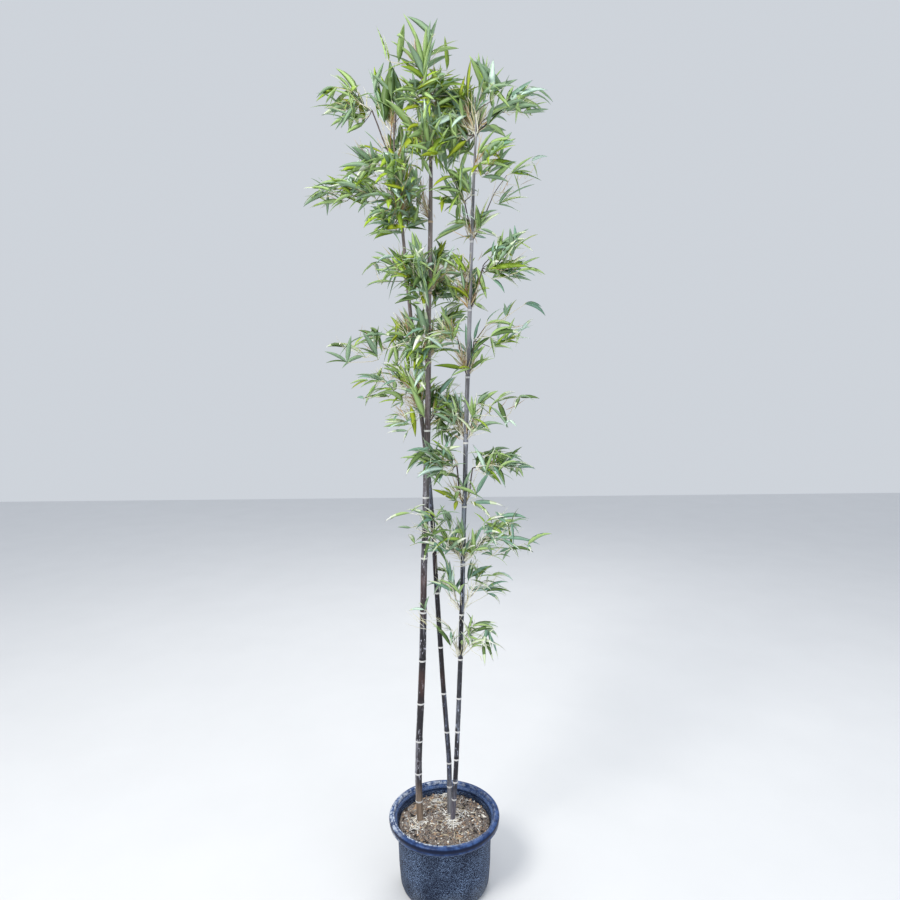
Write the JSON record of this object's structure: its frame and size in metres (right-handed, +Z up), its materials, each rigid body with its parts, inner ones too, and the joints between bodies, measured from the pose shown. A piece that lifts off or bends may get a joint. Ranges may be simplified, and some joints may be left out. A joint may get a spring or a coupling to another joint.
{
  "type": "potted black bamboo",
  "caption": "Tall slim bamboo with dark jointed culms and open sprays of narrow green leaves, standing in a round dark plastic nursery pot.",
  "frame": {"origin": "centre of the pot's flat underside", "axes": "+Z up along the culms; +X to the right and -Y to the front as the plant is usually seen"},
  "size_m": [0.7364, 0.3586, 2.5027],
  "materials": {
    "pot_plastic": "dusty injection-moulded dark plastic, scuffed paler along the inner lip",
    "potting_mix": "coarse brown bark-based mix with pale fibres and grit",
    "culm": "smooth dark purple-black cane with whitish rings at the nodes and olive-brown lowest joints",
    "side_branch": "thin tan to dark twigs with pale papery sheaths",
    "leaf": "thin narrow leaves, mid green above and greyer below, some with bleached tips"
  },
  "bodies": {
    "root": {"bough_leaning_10_left": "side_branch", "bough_leaning_12_far_left": "side_branch", "bough_leaning_13_left": "side_branch", "bough_slender_11_left": "side_branch", "bough_slender_11_right": "side_branch", "bough_slender_12_right": "side_branch", "bough_slender_13_right": "side_branch", "bough_slender_15_right": "side_branch", "bough_slender_6_left": "side_branch", "bough_slender_6_right": "side_branch", "bough_slender_9_left": "side_branch", "bough_slender_9_right": "side_branch", "bough_thick_10_right": "side_branch", "culm_leaning": "culm", "culm_slender": "culm", "culm_thick": "culm", "foliage_leaning_10_back": "leaf", "foliage_leaning_10_left": "leaf", "foliage_leaning_11_left": "leaf", "foliage_leaning_12_far_left": "leaf", "foliage_leaning_12_front": "leaf", "foliage_leaning_12_left": "leaf", "foliage_leaning_12_upper_left": "leaf", "foliage_leaning_13_left": "leaf", "foliage_leaning_13_right": "leaf", "foliage_leaning_14_top": "leaf", "foliage_leaning_9_left": "leaf", "foliage_leaning_9_upper_left": "leaf", "foliage_slender_10_left": "leaf", "foliage_slender_10_right": "leaf", "foliage_slender_11_left": "leaf", "foliage_slender_11_right": "leaf", "foliage_slender_12_left": "leaf", "foliage_slender_12_right": "leaf", "foliage_slender_13_left": "leaf", "foliage_slender_13_right": "leaf", "foliage_slender_14_right": "leaf", "foliage_slender_15_left": "leaf", "foliage_slender_15_right": "leaf", "foliage_slender_15_top": "leaf", "foliage_slender_6_left": "leaf", "foliage_slender_6_right": "leaf", "foliage_slender_7_left": "leaf", "foliage_slender_7_right": "leaf", "foliage_slender_8_left": "leaf", "foliage_slender_8_right": "leaf", "foliage_slender_9_left": "leaf", "foliage_slender_9_right": "leaf", "foliage_thick_10_front": "leaf", "foliage_thick_10_right": "leaf", "foliage_thick_11_left": "leaf", "foliage_thick_11_right": "leaf", "foliage_thick_12_left": "leaf", "foliage_thick_13_back": "leaf", "foliage_thick_13_front": "leaf", "foliage_thick_14_right": "leaf", "foliage_thick_15_top": "leaf", "foliage_thick_9_right": "leaf", "pot": "pot_plastic", "soil": "potting_mix"}
  },
  "joints": []
}
